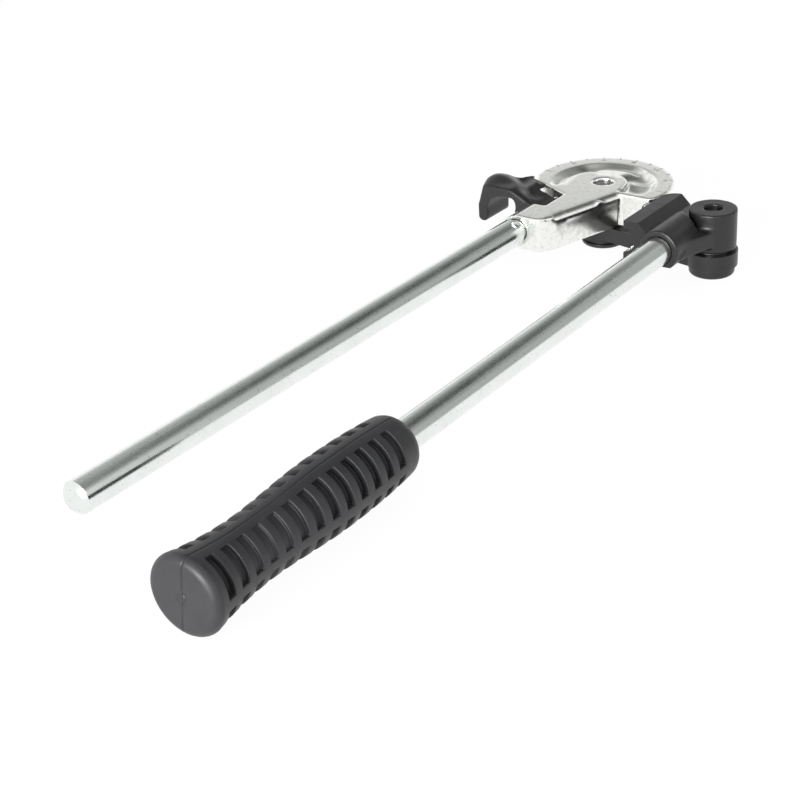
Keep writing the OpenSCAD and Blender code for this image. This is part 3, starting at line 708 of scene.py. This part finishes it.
def in_slot(face):
    """True for a face of the outer skin that lies in one of the slots."""
    centre = face.calc_center_median()
    turn_deg = math.degrees(math.atan2(centre.y, centre.x))
    in_row = any(abs((turn_deg - row + 180) % 360 - 180) < SLOT_SPAN / 2 for row in SLOT_ROWS)
    nearest = min(abs(centre.z / MM - t) for t in SLOT_PLACES)
    return in_row and nearest < SLOT_W / 2 and from_axis(centre) > SKIN_R


def push_in(bm, faces, floor_r):
    """Moves a patch of faces to a radius round the axis, leaving walls behind."""
    made = bmesh.ops.extrude_face_region(bm, geom=faces)["geom"]
    bmesh.ops.delete(bm, geom=faces, context="FACES_ONLY")
    for v in made:
        if isinstance(v, bmesh.types.BMVert):
            share = floor_r / from_axis(v.co)
            v.co.x *= share
            v.co.y *= share
    bmesh.ops.recalc_face_normals(bm, faces=bm.faces)


slot_faces = [face for face in grip.faces if in_slot(face)]
print("slot faces:", len(slot_faces))
push_in(grip, slot_faces, SLOT_FLOOR_R)
rims = [e for e in folds(grip, RIM_DEG) if min(from_axis(v.co) for v in e.verts) > SKIN_R]
round_edges(grip, rims, RIM_ROUND, RIM_STEPS)

# %% [markdown]
# ## Grip: seam and place
# The two halves of the mould met in a plane through the axis. The skin is cut three times along that plane,
# and the middle cut is pressed in as a fine line. Last, the grip is turned onto the lever rod.

# %% Grip
SEAM_DEG, SEAM_W, SEAM_DEPTH = 83, 0.9, 0.4
CUT_DIST, ON_CUT = 0.0001 * MM, 0.01 * MM
LEVER_REACH, LEVER_ROD_OFFSET, HANDLE_SPLAY_DEG, GRIP_CREASE_DEG = 433.48, 11.4, 1.12, 50


def press_seam(bm):
    """Splits the skin along the mould's parting plane and presses a fine line in there."""
    across = Vector((-math.sin(math.radians(SEAM_DEG)), math.cos(math.radians(SEAM_DEG)), 0))
    for side in (-SEAM_W / 2, 0, SEAM_W / 2):
        bmesh.ops.bisect_plane(bm, geom=bm.verts[:] + bm.edges[:] + bm.faces[:], dist=CUT_DIST,
                               plane_co=across * side * MM, plane_no=across)
    bm.normal_update()
    on_seam = [v for v in bm.verts if abs(v.co.dot(across)) < ON_CUT]
    outside = [v for v in on_seam if from_axis(v.co) > SKIN_R or v.co.z < GRIP_FLARE * MM]
    sinks = [(v, v.normal * SEAM_DEPTH * MM) for v in outside]
    for v, sink in sinks:
        v.co -= sink


press_seam(grip)
on_rod = (Matrix.Translation(LEVER_AXIS) @ Matrix.Rotation(math.radians(HANDLE_SPLAY_DEG), 4, "Z")
          @ Matrix.Translation(Vector((-LEVER_ROD_OFFSET, -LEVER_REACH, 0)) * MM)
          @ Matrix.Rotation(math.radians(-90), 4, "X") @ Matrix.Diagonal((1, -1, 1, 1)))
bmesh.ops.transform(grip, matrix=on_rod, verts=grip.verts)
bmesh.ops.recalc_face_normals(grip, faces=grip.faces)
stand_in("lever_grip", grip, rubber, GRIP_CREASE_DEG, flat_faces=True)

# %% [markdown]
# ## Degree scale
# The band round the pocket carries a scale: a mark every 15 degrees and a number every 30, from 0 where the
# tube enters at the hook to 180 on the right. The marks are flat bars a hair above the casting. The numbers
# are text made into mesh, turned so that they read from outside.

# %% Degree scale
SCALE_END, MARK_STEP, LONG_MARK_STEP, NUMBER_STEP = 180, 15, 90, 30
MARK_RISE, MARK_W, LONG_MARK, SHORT_MARK, RIM_R = 0.08, 0.5, 5.0, 2.6, 40.2
NUMBER_R, NUMBER_H = 35.4, 3.2


def scale_turn(degree):
    """The angle from +X to a degree of the scale, which starts at the left."""
    return math.radians(SCALE_END - degree)


def scale_marks():
    bm = bmesh.new()
    for degree in range(0, SCALE_END + 1, MARK_STEP):
        length = LONG_MARK if degree % LONG_MARK_STEP == 0 else SHORT_MARK
        spin = Matrix.Rotation(scale_turn(degree), 3, "Z")
        at = spin @ Vector((RIM_R - length / 2, 0, FORMER_TOP))
        add_box(bm, at, (length, MARK_W, 2 * MARK_RISE), scale_turn(degree))
    return finish_piece("degree_marks", bm, "former", etched)


def scale_numbers():
    bm = bmesh.new()
    face_out = Matrix.Rotation(math.radians(-90), 4, "Z")
    for degree in range(NUMBER_STEP, SCALE_END, NUMBER_STEP):
        text = bpy.data.curves.new("number", "FONT")
        text.body, text.size = str(degree), NUMBER_H * MM
        text.align_x, text.align_y, text.extrude = "CENTER", "CENTER", MARK_RISE * MM
        holder = bpy.data.objects.new("number", text)
        bpy.context.scene.collection.objects.link(holder)
        flat = bpy.data.meshes.new_from_object(holder.evaluated_get(bpy.context.evaluated_depsgraph_get()))
        spin = Matrix.Rotation(scale_turn(degree), 4, "Z")
        flat.transform(spin @ Matrix.Translation(Vector((NUMBER_R, 0, FORMER_TOP)) * MM) @ face_out)
        bm.from_mesh(flat)
        bpy.data.objects.remove(holder)
        bpy.data.curves.remove(text)
        bpy.data.meshes.remove(flat)
    bmesh.ops.remove_doubles(bm, verts=bm.verts, dist=NEW_MERGE)
    bmesh.ops.recalc_face_normals(bm, faces=bm.faces)
    return finish_piece("degree_numbers", bm, "former", etched)


scale_marks()
scale_numbers()

# %% [markdown]
# ## Pieces that keep their CAD mesh
# Pins, rings, washers, bushes and dowels are exact turned shapes and mostly hidden, so they only get a finish.
# The steel finish is darkened as painted shade.

# %% Finishes for the inner pieces
REPLACED = {piece.name.removesuffix("_piece") for piece in bpy.data.objects if piece.name.endswith("_piece")}
for name, node in frame["nodes"].items():
    if name not in REPLACED:
        node.data.materials.clear()
        # Steel pieces get steel darkened as painted shade, bushes get bronze.
        node.data.materials.append(bronze if "bush" in name else steel_darkened_as_shade)
        print("finished", name)

# %% [markdown]
# ## Floor
# The photograph is a cut-out on white. The floor is a pale plane that touches the tool where it would rest:
# under both caps and under the end of the grip. For the camera and for reflections it glows a little, so it
# reads as white and still keeps a soft shadow.

# %% Floor
REST_POINTS = [Vector(p) * MM for p in ((0.0, -10.0, 0.0), (77.6, -10.0, 1.3), (75.0, -441.0, 9.2))]
FLOOR_SIZE, FLOOR_DROP = 12, 0.15


def bare_material(name):
    """A material with an empty tree, and that tree."""
    material = bpy.data.materials.new(name)
    material.use_nodes = True
    material.node_tree.nodes.clear()
    return material, material.node_tree


def seen_directly(tree):
    """1 for rays from the camera, a reflection or a transmission, and 0 for the light that pieces receive."""
    path = put(tree, "LightPath")
    shiny = put(tree, "Math", {0: path.outputs["Is Glossy Ray"], 1: path.outputs["Is Transmission Ray"]},
                operation="MAXIMUM")
    return put(tree, "Math", {0: path.outputs["Is Camera Ray"], 1: shiny.outputs[0]},
               operation="MAXIMUM").outputs[0]


def stage_plane(name, size, place, material):
    """A square that belongs to the studio and not to the tool."""
    bm = bmesh.new()
    bmesh.ops.create_grid(bm, x_segments=1, y_segments=1, size=size / 2)
    mesh = bpy.data.meshes.new(name)
    bm.to_mesh(mesh)
    bm.free()
    mesh.materials.append(material)
    plane = bpy.data.objects.new(name, mesh)
    plane.matrix_world = place
    bpy.context.scene.collection.objects.link(plane)
    return plane


def floor_material():
    material, tree = bare_material("matt_white_floor")
    matt = put(tree, "BsdfDiffuse", {"Color": linear("#E6E6E6")})
    pale = put(tree, "BsdfDiffuse", {"Color": linear("#4A4A4A")})
    glow = put(tree, "Emission", {"Color": linear("#FFFFFF"), "Strength": 0.96})
    white = put(tree, "AddShader", {0: pale.outputs[0], 1: glow.outputs[0]})
    either = put(tree, "MixShader", {0: seen_directly(tree), 1: matt.outputs[0], 2: white.outputs[0]})
    put(tree, "OutputMaterial", {"Surface": either.outputs[0]})
    return material


pivot_foot, lever_foot, grip_foot = REST_POINTS
floor_up = (lever_foot - pivot_foot).cross(pivot_foot - grip_foot).normalized()
floor_lean = UP.rotation_difference(floor_up).to_matrix().to_4x4()
floor_at = Matrix.Translation(pivot_foot - floor_up * FLOOR_DROP * MM)
stage_plane("floor", FLOOR_SIZE, floor_at @ floor_lean, floor_material())
print("floor leans by", round(math.degrees(floor_up.angle(UP)), 2), "degrees")

# %% [markdown]
# ## Flags
# Bright metal looks like what stands round it. In the photograph the rods show a dark ceiling, a lighter wall
# on the left and a grey one on the right. Four cards do that: the two walls, the ceiling, and a grey card over
# the handles. Only reflections see them, and each fades out towards its edge, so that no hard line shows.

# %% Flags


def flag_material(name, colour, inner, outer):
    """A card that is solid near its centre and fades out towards its edge, between two radii in metres."""
    material, tree = bare_material(name)
    place = put(tree, "TexCoord").outputs["Object"]
    reach = put(tree, "VectorMath", {0: place}, operation="LENGTH")
    fade = put(tree, "MapRange", {
        "Value": reach.outputs["Value"], "From Min": inner, "From Max": outer, "To Min": 0.0, "To Max": 1.0,
    }, interpolation_type="SMOOTHSTEP")
    card = put(tree, "Emission", {"Color": linear(colour), "Strength": 1.0})
    clear = put(tree, "BsdfTransparent")
    both = put(tree, "MixShader", {0: fade.outputs["Result"], 1: card.outputs[0], 2: clear.outputs[0]})
    put(tree, "OutputMaterial", {"Surface": both.outputs[0]})
    return material


def make_flag(name, size, place, material):
    flag = stage_plane(name, size, place, material)
    flag.visible_camera = flag.visible_diffuse = flag.visible_shadow = flag.visible_transmission = False


def upright(turn_deg, width):
    """Stands a card upright, turns it about Z and scales its width."""
    stand = Matrix.Rotation(math.radians(turn_deg), 4, "Z") @ Matrix.Rotation(math.radians(90), 4, "X")
    return stand @ Matrix.Diagonal((width, 1, 1, 1))


make_flag("ceiling_flag", 7, Matrix.Translation((0.3, 1.2, 1.4)),
          flag_material("dark_ceiling", "#545754", 0.1, 2.1))
make_flag("overhead_flag", 4, Matrix.Translation((-0.6, -0.25, 1.5)),
          flag_material("grey_overhead", "#8A8D8A", 0.4, 1.1))
make_flag("right_flag", 7, Matrix.Translation((1.9, 2.44, 0.9)) @ upright(-38, 0.9),
          flag_material("grey_wall", "#AEB1AE", 0.8, 1.9))
make_flag("left_flag", 7, Matrix.Translation((-1.9, 2.4, 2.35)) @ upright(38, 1.7),
          flag_material("light_wall", "#C3C5C3", 0.95, 1.6))
print("flags placed")

# %% [markdown]
# ## World and lamp
# The world is white for the camera and for reflections, and a plain soft light for everything else. One square
# lamp stands low in front of the handles and lights the sides that face the camera.

# %% World and lamp
LAMP_AT, LAMP_AIM, LAMP_SIZE, LAMP_POWER = Vector((0.2, -1.9, 0.3)), Vector((0.03, -0.2, 0.03)), 1.0, 44

world = bpy.data.worlds.new("studio")
bpy.context.scene.world = world
world.use_nodes = True
world.node_tree.nodes.clear()
room = put(world.node_tree, "Background", {"Color": linear("#FFFFFF"), "Strength": 0.5})
white = put(world.node_tree, "Background", {"Color": linear("#FFFFFF"), "Strength": 1.0})
choice = put(world.node_tree, "MixShader", {
    0: seen_directly(world.node_tree), 1: room.outputs[0], 2: white.outputs[0],
})
put(world.node_tree, "OutputWorld", {"Surface": choice.outputs[0]})

lamp = bpy.data.lights.new("key_front", "AREA")
lamp.shape, lamp.size, lamp.energy = "SQUARE", LAMP_SIZE, LAMP_POWER
softbox = bpy.data.objects.new("key_front", lamp)
softbox.location = LAMP_AT
softbox.rotation_euler = (LAMP_AIM - LAMP_AT).to_track_quat("-Z", "Y").to_euler()
bpy.context.scene.collection.objects.link(softbox)
print("lamp and world ready")
